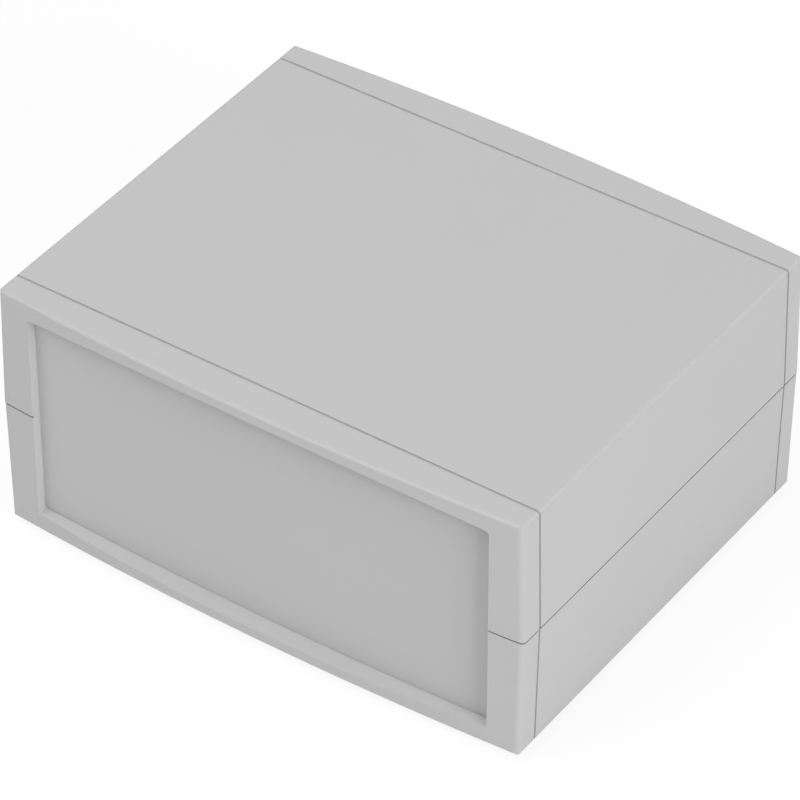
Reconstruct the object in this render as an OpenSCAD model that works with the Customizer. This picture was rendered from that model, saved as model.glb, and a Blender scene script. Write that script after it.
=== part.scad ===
// Desktop instrument case: two drafted half shells that meet at mid height,
// bowed front and rear frames, and a flat panel held captive in each frame.
// X runs across the width, the front face looks towards -Y and Z is up.
// The origin is the middle of the footprint, on the surface the feet stand on.

/* [Case] */
// Width at the parting line
case_w = 150; // [140:1:190]
// Depth over the bowed front and rear faces, at mid width
case_d = 124.2; // [112:0.2:180]
// Height of the two shells together, without the feet
case_h = 70.2; // [60:0.2:100]
// Wall thickness of the shells
wall = 2.5; // [2:0.1:3]
// How far the front and rear faces stand out at mid width
face_bow = 2.7; // [1:0.1:4]
// Draft of the side walls, away from the parting line
draft = 1.25; // [0.5:0.05:2]
// How far the lower shell is set in from the upper one, all round
lower_set_in = 0.1; // [0.05:0.05:0.4]

/* [Rounded edges] */
// Radius along the top and the bottom edges
edge_r = 0.8; // [0.5:0.1:1.5]
// Flats that make up the round of those edges
edge_flats = 4; // [2:1:8]
// Radius of the upright corners
corner_r = 1.5; // [1.2:0.1:3]
// Radius inside the shells, along the roof and the floor
inner_r = 1; // [0.5:0.1:2]

/* [Shadow lines] */
// From the bowed face at mid width to the middle of the groove
groove_back = 9.4; // [9:0.1:12]
// Width of the groove
groove_w = 0.6; // [0.4:0.1:1.5]
// Depth of the groove
groove_depth = 0.3; // [0.3:0.1:0.8]
// Height of the open seam between the shells
seam_gap = 0.5; // [0.2:0.1:0.8]
// Depth of the open seam
seam_depth = 0.6; // [0.4:0.1:1]

/* [Frame opening] */
// Width of the frame beside the opening, at the parting line
frame_side = 9.5; // [5:0.1:11]
// Height of the frame over the opening, at mid width
frame_rim = 3.1; // [2.5:0.1:4]
// How far the opening's long edges fall from mid width to its corners
opening_arch = 2; // [0.5:0.1:3]
// Corner radius of the opening
opening_r = 1; // [0.6:0.1:3]
// From the bowed face at mid width back to the panel
panel_recess = 5.1; // [4.5:0.1:6]

/* [Panels] */
// Panel thickness
panel_t = 2; // [1.5:0.1:2.5]
// Corner radius of the panels
panel_r = 1.5; // [0.5:0.1:3]
// Clearance round a panel in its slot
panel_clearance = 0.15; // [0.1:0.05:0.3]
// Wall left outside the slot, in the roof and the floor
slot_skin = 1.5; // [1.2:0.1:2]
// Wall left outside the slot, in the sides
slot_side_skin = 2; // [1.5:0.1:2.4]
// Thickness of the rail behind a panel
rail_t = 2; // [1.5:0.1:3]
// How far the rail stands out of the walls
rail_h = 3; // [2:0.1:5]

/* [Tongue] */
// Height of the tongue on the lower shell
tongue_h = 1.6; // [1:0.1:3]
// Thickness of the tongue
tongue_t = 1; // [0.8:0.05:1.2]
// Clearance round the tongue
tongue_clearance = 0.15; // [0.1:0.05:0.3]
// Distance from the tongue's ends to the rails
tongue_end = 2; // [1:0.5:6]

/* [Screw pillars] */
// From the case's side at the parting line to the pillar's axis
pillar_side = 9.5; // [8.5:0.1:12]
// From the bowed face at mid width to the pillar's axis
pillar_end = 17; // [16:0.5:24]
// Radius of a pillar
pillar_r = 4.5; // [4.2:0.1:5]
// Thickness of the ribs that tie the pillars to the walls
rib_t = 1.6; // [1.2:0.1:2]
// Lower pillar's length under the clamped joint, from the head's seat up
clamp_t = 12; // [8:0.5:20]

/* [Case screws] */
// Shank radius, at the middle of the thread
screw_r = 1.5; // [1.2:0.05:1.8]
// Length under the head
screw_len = 25; // [22:0.5:30]
// Length of the pointed tip
screw_tip = 2.5; // [1.5:0.1:4]
// Head radius
head_r = 3.1; // [2.8:0.1:3.3]
// Head height
head_h = 2.4; // [2:0.1:3]
// Rounding of the head's outer edge
head_edge_r = 0.9; // [0.5:0.1:1.2]
// Width of the cross recess
drive_w = 0.9; // [0.6:0.1:1.2]
// Length of the cross recess
drive_len = 3.6; // [3:0.1:4.4]
// Depth of the cross recess
drive_depth = 1.3; // [0.8:0.1:1.8]
// Clearance round the shank in the lower pillar
shank_clearance = 0.35; // [0.2:0.05:0.5]
// Clearance round the shank in the upper pillar's pilot bore
pilot_clearance = 0.05; // [0.02:0.01:0.1]
// Clearance round the head in its counterbore
head_clearance = 0.4; // [0.2:0.05:0.6]
// Pilot bore left free past the screw's point
pilot_spare = 2; // [1:0.5:4]

/* [Circuit board bosses] */
// Hole spacing across the width
boss_spacing_x = 110; // [80:1:112]
// Hole spacing along the depth
boss_spacing_y = 70; // [40:1:74]
// Radius of a boss
boss_r = 3.2; // [2.8:0.1:4]
// Height of a boss over the floor
boss_h = 6; // [4:0.5:12]
// Radius of the boss's blind hole
boss_hole_r = 1.25; // [1:0.05:1.6]
// Depth of the boss's blind hole
boss_hole_depth = 7; // [4:0.5:7]

/* [Feet] */
// Radius of a foot
foot_r = 6; // [5:0.1:7]
// Thickness of a foot
foot_h = 2.1; // [1.6:0.1:4]
// Rounding of a foot's lower edge
foot_edge_r = 0.7; // [0.3:0.1:0.9]
// Depth of the round seat in the floor
foot_seat = 0.6; // [0.4:0.1:0.8]
// Clearance round a foot in its seat
foot_clearance = 0.3; // [0.2:0.05:0.5]
// From the case's side at the parting line to the foot's axis
foot_side = 24; // [22:0.5:34]
// From the bowed face at mid width to the foot's axis
foot_end = 17; // [16:0.5:24]

/* [Hidden] */

case_grey = "#c6c6c5";
steel = "#b9bbbd";
rubber = "#2b2b2c";

// Segments of a full circle, for small rounds and for the long bowed arcs
round_fn = 64;
bow_fn = 1440;
// How far a cutter runs past the face it opens
past = 1;
// A round is set out by this hair, so that it crosses its two faces cleanly
round_out = 0.005;

half_h = case_h / 2;
lean = tan(draft);
base_z = foot_h - foot_seat;
split_z = base_z + half_h;

// Bowed faces: one long arc through mid width and both corners
bow_r = (pow(case_w / 2, 2) + pow(face_bow, 2)) / (2 * face_bow);
bow_axis_y = case_d / 2 - bow_r;
bow_sweep = 2 * asin(case_w / (bow_r - case_d));

// Opening of the frame, with an arc along each long edge
opening_hw = case_w / 2 - frame_side;
arch_r = (pow(opening_hw, 2) + pow(opening_arch, 2)) / (2 * opening_arch);
arch_z = half_h - frame_rim - arch_r;

// Panel, its slot and the rail behind it, measured from the middle of the case
panel_y = case_d / 2 - panel_recess;
slot_near_y = panel_y - panel_t - 2 * panel_clearance;
rail_near_y = slot_near_y - rail_t;
slot_hw = case_w / 2 - lean * half_h - slot_side_skin;
slot_hh = half_h - slot_skin;

groove_y = case_d / 2 - groove_back;

// Tongue on the lower shell, flush with the inside of its wall
tongue_x = case_w / 2 - lower_set_in - wall / cos(draft);
tongue_hl = rail_near_y - tongue_end;

pillar_x = case_w / 2 - pillar_side;
pillar_y = case_d / 2 - pillar_end;
pilot_depth = screw_len - clamp_t + pilot_spare;
seat_z = split_z - clamp_t;

foot_x = case_w / 2 - foot_side;
foot_y = case_d / 2 - foot_end;

// Centre of a round of radius r that touches the side line x = side - slope * z
// and the inside of an arc of radius big_r about [0, big_z]
function round_centre(side, slope, big_r, big_z, r) =
    let (
        q = 1 + slope * slope,
        x0 = side - r * sqrt(q),
        b = x0 * slope + big_z,
        c = x0 * x0 + big_z * big_z - pow(big_r - r, 2),
        z = (b + sqrt(b * b - q * c)) / q
    )
    [x0 - slope * z, z];

// What a round of radius r about c takes off the sharp corner between two
// edges whose outward directions are a and b
module sharp_corner(c, a, b, r) {
    translate(c + round_out * (a + b))
        difference() {
            polygon([[0, 0], r * a, 2 * r * (a + b), r * b]);
            circle(r, $fn = round_fn);
        }
}

// The same between the line and the arc that round_centre works with
module arc_corner(side, slope, big_r, big_z, r) {
    c = round_centre(side, slope, big_r, big_z, r);
    sharp_corner(c, [1, slope] / norm([1, slope]), (c - [0, big_z]) / (big_r - r), r);
}

// What a row of flats round c takes off a sharp corner, from the edge that
// faces the angle first to the edge that faces the angle last. The end flats
// run on past the edges, so that they cross them cleanly
module broken_corner(c, first, last, r) {
    function out(w) = [cos(w), sin(w)];
    arc = [for (i = [0:edge_flats]) c + r * out(first + (last - first) * i / edge_flats)];
    polygon(concat(
        [2 * arc[0] - arc[1]],
        [for (i = [1:edge_flats - 1]) arc[i]],
        [2 * arc[edge_flats] - arc[edge_flats - 1]],
        [c + (r + past) * out(last), c + (r + past) * (out(first) + out(last)), c + (r + past) * out(first)]
    ));
}

module left_and_right() {
    for (side = [0, 1]) mirror([side, 0, 0]) children();
}

module front_and_rear() {
    for (end = [0, 1]) mirror([0, end, 0]) children();
}

module four_corners() {
    left_and_right() front_and_rear() children();
}

// Pulls a section drawn across the width along the depth of the case
module along_depth(length) {
    rotate([90, 0, 0]) linear_extrude(length, center = true) children();
}

// A half shell is drawn with its rim on z = 0 and its roof up; the lower one
// is turned over. Section across the width: drafted sides and a flat roof
module half_section(set_in, roof, below = past) {
    hw = case_w / 2 - set_in / cos(draft);
    polygon([
        [-hw - lean * below, -below], [hw + lean * below, -below],
        [hw - lean * roof, roof], [-hw + lean * roof, roof]
    ]);
}

// Centre of a round of radius r between the right side and the roof
function roof_round(set_in, roof, r) =
    [case_w / 2 - (set_in + r) / cos(draft) - lean * (roof - r), roof - r];

// The same section with its roof corners round
module soft_section(set_in, roof, below = past) {
    difference() {
        half_section(set_in, roof, below);
        left_and_right() broken_corner(roof_round(set_in, roof, edge_r), draft, 90, edge_r);
    }
}

// Section of a hollow, with rounded roof corners
module hollow_section(set_in, roof) {
    difference() {
        half_section(set_in, roof);
        left_and_right()
            sharp_corner(roof_round(set_in, roof, inner_r), [cos(draft), sin(draft)], [0, 1], inner_r);
    }
}

// Everything behind one bowed face
module bowed_end(set_in, roof, below) {
    translate([0, bow_axis_y, -below]) cylinder(r = bow_r - set_in, h = roof + below + past, $fn = bow_fn);
}

// The sharp material over the round between one bowed face and the roof
module bowed_edge(set_in, roof, r) {
    c = [bow_r - set_in - r, roof - r];
    translate([0, bow_axis_y, 0])
        rotate([0, 0, 90 - bow_sweep / 2])
            rotate_extrude(angle = bow_sweep, $fn = bow_fn) broken_corner(c, 0, 90, r);
}

// The sharp material outside the round of one upright corner, which leans
// with the side wall and follows the bowed face
module upright_corner(set_in, roof, below) {
    side = case_w / 2 - set_in / cos(draft);
    face_lean = atan(lean * tan(asin(side / bow_r)));
    translate([side, 0, 0])
        rotate([-face_lean, -draft, 0])
            translate([-side, 0, -below - past])
                linear_extrude(roof + below + 2 * past)
                    arc_corner(side, 0, bow_r - set_in, bow_axis_y, corner_r);
}

// Solid half case: drafted sides, two bowed faces, and every outer edge round
module half_block(set_in, roof, below = 0) {
    difference() {
        difference() {
            intersection() {
                along_depth(case_d + 2 * past) soft_section(set_in, roof, below);
                bowed_end(set_in, roof, below + past);
                mirror([0, 1, 0]) bowed_end(set_in, roof, below + past);
            }
            front_and_rear() bowed_edge(set_in, roof, edge_r);
        }
        four_corners() upright_corner(set_in, roof, below);
    }
}

// Half of the frame's opening, arched along its long edge
module opening_section() {
    difference() {
        intersection() {
            translate([-opening_hw, -past]) square([2 * opening_hw, half_h + past]);
            translate([0, arch_z]) circle(arch_r, $fn = bow_fn);
        }
        left_and_right() arc_corner(opening_hw, 0, arch_r, arch_z, opening_r);
    }
}

// Shadow groove round the sides and the roof
module groove(set_in) {
    translate([0, groove_y, 0])
        along_depth(groove_w)
            difference() {
                translate([-case_w, -past]) square([2 * case_w, case_h]);
                half_section(set_in + groove_depth, half_h - groove_depth, 2 * past);
            }
}

// Hollow half shell with its two frames, panel slots and rails
module half_shell(set_in) {
    difference() {
        half_block(set_in, half_h);
        along_depth(2 * rail_near_y) hollow_section(set_in + wall, half_h - wall);
        along_depth(2 * panel_y) hollow_section(set_in + wall + rail_h, half_h - wall - rail_h);
        front_and_rear() {
            translate([-slot_hw, slot_near_y, -past])
                cube([2 * slot_hw, panel_y - slot_near_y, slot_hh + past]);
            translate([0, case_d / 2 + past, 0])
                rotate([90, 0, 0]) linear_extrude(panel_recess + past + panel_t / 2) opening_section();
            groove(set_in);
        }
    }
}

// Screw pillars, tied to the side wall and to the rail behind the panel
module pillars() {
    four_corners() {
        translate([pillar_x, pillar_y, 0]) cylinder(r = pillar_r, h = half_h - wall / 2, $fn = round_fn);
        translate([pillar_x, pillar_y - rib_t / 2, 0])
            cube([slot_hw - pillar_x + wall / 2, rib_t, half_h - wall / 2]);
        translate([pillar_x - rib_t / 2, pillar_y, 0])
            cube([rib_t, slot_near_y - rail_t / 2 - pillar_y, half_h - wall / 2]);
    }
}

// Open seam: the outer edge of the upper rim stands back and up
module seam_step() {
    difference() {
        translate([-case_w, -case_d, -past]) cube([2 * case_w, 2 * case_d, seam_gap + past]);
        half_block(seam_depth, half_h, 2 * past);
    }
}

module top_shell() {
    color(case_grey)
        translate([0, 0, split_z])
            difference() {
                union() {
                    difference() {
                        half_shell(0);
                        seam_step();
                    }
                    pillars();
                }
                four_corners()
                    translate([pillar_x, pillar_y, -past])
                        cylinder(r = screw_r + pilot_clearance, h = pilot_depth + past, $fn = round_fn);
                left_and_right()
                    translate([
                        tongue_x - tongue_clearance,
                        -tongue_hl - tongue_clearance,
                        -past
                    ])
                        cube([
                            tongue_t + 2 * tongue_clearance,
                            2 * (tongue_hl + tongue_clearance),
                            tongue_h + tongue_clearance + past
                        ]);
            }
}

module bosses() {
    for (x = [-1, 1], y = [-1, 1])
        translate([x * boss_spacing_x / 2, y * boss_spacing_y / 2, half_h - wall - boss_h])
            cylinder(r = boss_r, h = boss_h + wall / 2, $fn = round_fn);
}

module boss_holes() {
    for (x = [-1, 1], y = [-1, 1])
        translate([x * boss_spacing_x / 2, y * boss_spacing_y / 2, half_h - wall - boss_h - past])
            cylinder(r = boss_hole_r, h = boss_hole_depth + past, $fn = round_fn);
}

module bottom_shell() {
    color(case_grey)
        translate([0, 0, split_z])
            mirror([0, 0, 1])
                difference() {
                    union() {
                        half_shell(lower_set_in);
                        pillars();
                        bosses();
                        left_and_right()
                            translate([tongue_x, -tongue_hl, -tongue_h])
                                cube([tongue_t, 2 * tongue_hl, tongue_h + wall]);
                    }
                    four_corners() {
                        translate([pillar_x, pillar_y, -past])
                            cylinder(r = screw_r + shank_clearance, h = half_h, $fn = round_fn);
                        translate([pillar_x, pillar_y, clamp_t])
                            cylinder(r = head_r + head_clearance, h = half_h, $fn = round_fn);
                        translate([foot_x, foot_y, half_h - foot_seat])
                            cylinder(r = foot_r + foot_clearance, h = foot_seat + past, $fn = round_fn);
                    }
                    boss_holes();
                }
}

// Flat plate with rounded corners, standing across the depth at y
module panel(y) {
    hw = slot_hw - panel_clearance;
    hh = slot_hh - panel_clearance;
    color(case_grey)
        translate([0, y, split_z])
            along_depth(panel_t) {
                square([2 * hw, 2 * (hh - panel_r)], center = true);
                square([2 * (hw - panel_r), 2 * hh], center = true);
                for (x = [-1, 1], z = [-1, 1])
                    translate([x * (hw - panel_r), z * (hh - panel_r)]) circle(panel_r, $fn = round_fn);
            }
}

module front_panel() {
    panel(-panel_y + panel_t / 2);
}

module rear_panel() {
    panel(panel_y - panel_t / 2);
}

// Pan head, plain shank and pointed tip, head down on z = 0
module screw() {
    difference() {
        union() {
            rotate_extrude($fn = round_fn)
                polygon([
                    [0, 0], [screw_r, 0], [screw_r, screw_len - screw_tip],
                    [0, screw_len]
                ]);
            rotate_extrude($fn = round_fn) {
                translate([0, -head_h]) square([head_r - head_edge_r, head_h]);
                translate([0, head_edge_r - head_h]) square([head_r, head_h - head_edge_r]);
                translate([head_r - head_edge_r, head_edge_r - head_h]) circle(head_edge_r, $fn = round_fn);
            }
        }
        for (turn = [0, 90])
            rotate([0, 0, turn])
                translate([-drive_len / 2, -drive_w / 2, -head_h - past])
                    cube([drive_len, drive_w, drive_depth + past]);
    }
}

module case_screws() {
    color(steel)
        for (x = [-1, 1], y = [-1, 1])
            translate([x * pillar_x, y * pillar_y, seat_z]) screw();
}

// Round stick-on foot, flat underneath, pressed into its seat in the floor
module foot(x, y) {
    color(rubber)
        translate([x * foot_x, y * foot_y, 0])
            rotate_extrude($fn = round_fn) {
                translate([0, foot_edge_r]) square([foot_r, foot_h - foot_edge_r]);
                square([foot_r - foot_edge_r, foot_h]);
                translate([foot_r - foot_edge_r, foot_edge_r]) circle(foot_edge_r, $fn = round_fn);
            }
}

module foot_front_left() {
    foot(-1, -1);
}

module foot_front_right() {
    foot(1, -1);
}

module foot_rear_left() {
    foot(-1, 1);
}

module foot_rear_right() {
    foot(1, 1);
}

top_shell();
bottom_shell();
front_panel();
rear_panel();
case_screws();
foot_front_left();
foot_front_right();
foot_rear_left();
foot_rear_right();
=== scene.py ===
"""Dresses the desktop instrument case: moulded, plated and rubber finishes, a
pale floor, soft studio light and the camera."""

import math

import bmesh
import bpy
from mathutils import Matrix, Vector

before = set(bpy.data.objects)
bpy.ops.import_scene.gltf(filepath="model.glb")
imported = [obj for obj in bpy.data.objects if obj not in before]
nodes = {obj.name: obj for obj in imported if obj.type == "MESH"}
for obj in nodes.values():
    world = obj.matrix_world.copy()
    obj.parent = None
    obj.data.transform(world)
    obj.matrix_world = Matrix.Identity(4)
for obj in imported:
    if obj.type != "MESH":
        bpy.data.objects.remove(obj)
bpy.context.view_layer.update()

# Lengths are in metres, and MM turns millimetres into them
MM = 0.001
CASE_MIDDLE = Vector((0, 0, 35 * MM))
LAMP_DISTANCE = 2.6
FLOOR_REACH = 3.0
FLOOR_DROP = 0.05 * MM
FLOOR_GLOW = 1.04
FLOOR_SELF_LIT = 0.85

# Sockets of a Mix node set to colours, whose names are shared by its other modes
FACTOR, FIRST, SECOND, RESULT = 0, 6, 7, 2


# ---- Colours and nodes ----------------------------------------------------

def linear(hex_colour):
    """An sRGB hex colour as linear RGBA."""
    channels = [int(hex_colour[i:i + 2], 16) / 255 for i in (1, 3, 5)]
    return [c / 12.92 if c <= 0.04045 else ((c + 0.055) / 1.055) ** 2.4 for c in channels] + [1]


def add_node(tree, kind, settings=(), **links):
    """Adds a node. settings are its properties or input values by name, and
    each link joins an input, spaces as underscores, to another node's output."""
    node = tree.nodes.new(kind)
    for name, value in dict(settings).items():
        if hasattr(node, name):
            setattr(node, name, value)
        else:
            node.inputs[name].default_value = value
    for name, output in links.items():
        tree.links.new(output, node.inputs[name.replace("_", " ")])
    return node


def new_material(name):
    material = bpy.data.materials.new(name)
    material.use_nodes = True
    tree = material.node_tree
    tree.nodes.clear()
    return material, tree


def finish_with(tree, shader):
    add_node(tree, "ShaderNodeOutputMaterial", Surface=shader)


def mottle(tree, place, dark, pale, size):
    """A slow drift between two tones, over patches of this size in metres."""
    drift = add_node(tree, "ShaderNodeTexNoise", {"Scale": 1 / size, "Detail": 2}, Vector=place)
    tone = add_node(tree, "ShaderNodeMix", {"data_type": "RGBA"})
    tree.links.new(drift.outputs["Fac"], tone.inputs[FACTOR])
    tone.inputs[FIRST].default_value = linear(dark)
    tone.inputs[SECOND].default_value = linear(pale)
    return tone.outputs[RESULT]


def paint_crevice_shade(tree, colour, shaded, reach):
    """Paints shade: turns towards the shaded colour what has another surface within reach, as in
    grooves and inner corners.
    """
    openness = add_node(tree, "ShaderNodeAmbientOcclusion", {"samples": 8, "Distance": reach})
    tone = add_node(tree, "ShaderNodeMix", {"data_type": "RGBA"})
    tree.links.new(openness.outputs["AO"], tone.inputs[FACTOR])
    tone.inputs[FIRST].default_value = linear(shaded)
    tree.links.new(colour, tone.inputs[SECOND])
    return tone.outputs[RESULT]


def grain(tree, place, size, depth, strength, edge=0):
    """Bump from an even grain of this size, over edges softened by a small radius."""
    noise = add_node(tree, "ShaderNodeTexNoise", {"Scale": 1 / size, "Detail": 3}, Vector=place)
    bump = add_node(
        tree, "ShaderNodeBump", {"Strength": strength, "Distance": depth}, Height=noise.outputs["Fac"]
    )
    if edge:
        soft = add_node(tree, "ShaderNodeBevel", {"samples": 6, "Radius": edge})
        tree.links.new(soft.outputs["Normal"], bump.inputs["Normal"])
    return bump.outputs["Normal"]


# ---- Materials ------------------------------------------------------------

def moulded_abs(name, edge, painted_groove_shade=False):
    """Injection-moulded ABS from a lightly spark-eroded tool: an even body
    colour, a dull satin sheen and a grain that only just breaks the light."""
    material, tree = new_material(name)
    place = add_node(tree, "ShaderNodeTexCoord").outputs["Object"]
    # A tone that drifts by a hair over about 40 mm, as resin flow can leave it
    colour = mottle(tree, place, "#c4c4c4", "#c6c6c6", 40 * MM)
    if painted_groove_shade:
        # Painted shade: darkens the grooves, the parting line and inner corners, so that they read as
        # clear lines
        colour = paint_crevice_shade(tree, colour, "#9b9b9a", 0.7 * MM)
    # Real eroded grain is finer: drawn at 0.4 mm it can show, and takes the hard shine off flat walls
    normal = grain(tree, place, 0.4 * MM, 0.02 * MM, 0.12, edge)
    shader = add_node(
        tree, "ShaderNodeBsdfPrincipled", {"Roughness": 0.6, "IOR": 1.53, "Specular IOR Level": 0.25},
        Base_Color=colour, Normal=normal,
    )
    finish_with(tree, shader.outputs["BSDF"])
    return material


def zinc_steel(name):
    """Bright zinc plate on a cold-headed screw: a cool metal shine, faintly clouded."""
    material, tree = new_material(name)
    place = add_node(tree, "ShaderNodeTexCoord").outputs["Object"]
    colour = mottle(tree, place, "#b4b8bd", "#c9cbcc", 2 * MM)
    normal = grain(tree, place, 0.25 * MM, 0.01 * MM, 0.2)
    shader = add_node(
        tree, "ShaderNodeBsdfPrincipled", {"Metallic": 1.0, "Roughness": 0.32},
        Base_Color=colour, Normal=normal,
    )
    finish_with(tree, shader.outputs["BSDF"])
    return material


def soft_rubber(name):
    """Moulded nitrile rubber: nearly black and dull, in patches slightly greyer."""
    material, tree = new_material(name)
    place = add_node(tree, "ShaderNodeTexCoord").outputs["Object"]
    colour = mottle(tree, place, "#242425", "#313132", 3 * MM)
    normal = grain(tree, place, 0.3 * MM, 0.03 * MM, 0.3)
    shader = add_node(
        tree, "ShaderNodeBsdfPrincipled", {"Roughness": 0.85, "IOR": 1.5},
        Base_Color=colour, Normal=normal,
    )
    finish_with(tree, shader.outputs["BSDF"])
    return material


def dress():
    """Puts each finish into the material slots of the solids that have it."""
    finishes = {
        # The case gets painted shade in its grooves, parting line and inner corners
        "case_grey": moulded_abs("moulded_abs_case", 0.3 * MM, painted_groove_shade=True),
        "panel_grey": moulded_abs("moulded_abs_panel", 0.15 * MM),
        "screw_steel": zinc_steel("zinc_plated_steel"),
        "foot_rubber": soft_rubber("nitrile_rubber"),
    }
    for solid in nodes.values():
        for slot in solid.material_slots:
            slot.material = finishes[slot.material.name.split(".")[0]]


# ---- Studio ---------------------------------------------------------------

def floor():
    """Wide pale floor just under the feet. The camera and reflections see it
    nearly self-lit, so that it stays white and keeps a faint shadow."""
    grid = bmesh.new()
    bmesh.ops.create_grid(grid, x_segments=1, y_segments=1, size=FLOOR_REACH)
    bmesh.ops.translate(grid, verts=grid.verts, vec=(0, 0, -FLOOR_DROP))
    mesh = bpy.data.meshes.new("floor")
    grid.to_mesh(mesh)
    grid.free()
    piece = bpy.data.objects.new("floor", mesh)
    bpy.context.scene.collection.objects.link(piece)

    material, tree = new_material("pale_floor")
    lit = add_node(tree, "ShaderNodeBsdfDiffuse", {"Color": linear("#e6e6e6")})
    glow = add_node(tree, "ShaderNodeEmission", {"Strength": FLOOR_GLOW})
    path = add_node(tree, "ShaderNodeLightPath").outputs
    seen = path["Is Camera Ray"]
    for other in ("Is Glossy Ray", "Is Transmission Ray"):
        either = add_node(tree, "ShaderNodeMath", {"operation": "MAXIMUM"})
        tree.links.new(seen, either.inputs[0])
        tree.links.new(path[other], either.inputs[1])
        seen = either.outputs[0]
    share = add_node(tree, "ShaderNodeMath", {"operation": "MULTIPLY"})
    tree.links.new(seen, share.inputs[0])
    share.inputs[1].default_value = FLOOR_SELF_LIT
    mix = add_node(tree, "ShaderNodeMixShader", Fac=share.outputs[0])
    tree.links.new(lit.outputs[0], mix.inputs[1])
    tree.links.new(glow.outputs[0], mix.inputs[2])
    finish_with(tree, mix.outputs[0])
    mesh.materials.append(material)


def towards(azimuth, elevation):
    """Direction from the case, with azimuth from the front round to the right."""
    a, e = math.radians(azimuth), math.radians(elevation)
    return Vector((math.sin(a) * math.cos(e), -math.cos(a) * math.cos(e), math.sin(e)))


def place_facing(piece, aim, direction, distance):
    piece.location = aim + direction * distance
    piece.rotation_mode = "QUATERNION"
    piece.rotation_quaternion = (-direction).to_track_quat("-Z", "Y")
    bpy.context.scene.collection.objects.link(piece)


def softbox(name, azimuth, elevation, side, power):
    """Square area light that faces the middle of the case."""
    lamp = bpy.data.lights.new(name, "AREA")
    lamp.shape = "SQUARE"
    lamp.size = side
    lamp.energy = power
    piece = bpy.data.objects.new(name, lamp)
    place_facing(piece, CASE_MIDDLE, towards(azimuth, elevation), LAMP_DISTANCE)


def lights():
    world = bpy.data.worlds.new("studio")
    bpy.context.scene.world = world
    world.use_nodes = True
    around = world.node_tree.nodes["Background"].inputs
    around["Color"].default_value = (1, 1, 1, 1)
    around["Strength"].default_value = 0.3
    softbox("overhead", azimuth=0, elevation=90, side=1.6, power=16.0)
    softbox("side", azimuth=70, elevation=20, side=1.2, power=34.5)
    softbox("front_left", azimuth=-35, elevation=55, side=1.6, power=24.0)
    softbox("rear_fill", azimuth=215, elevation=20, side=1.2, power=7.0)


def camera():
    lens = bpy.data.cameras.new("camera")
    lens.lens = 233.92
    lens.clip_start = 0.01
    aim = Vector((-9.22, 12.226, 19.763)) * MM
    distance = 1269.5 * MM
    piece = bpy.data.objects.new("camera", lens)
    place_facing(piece, aim, towards(azimuth=34.958, elevation=39.960), distance)
    bpy.context.scene.camera = piece


dress()
floor()
lights()
camera()
bpy.context.scene.view_settings.view_transform = "Standard"
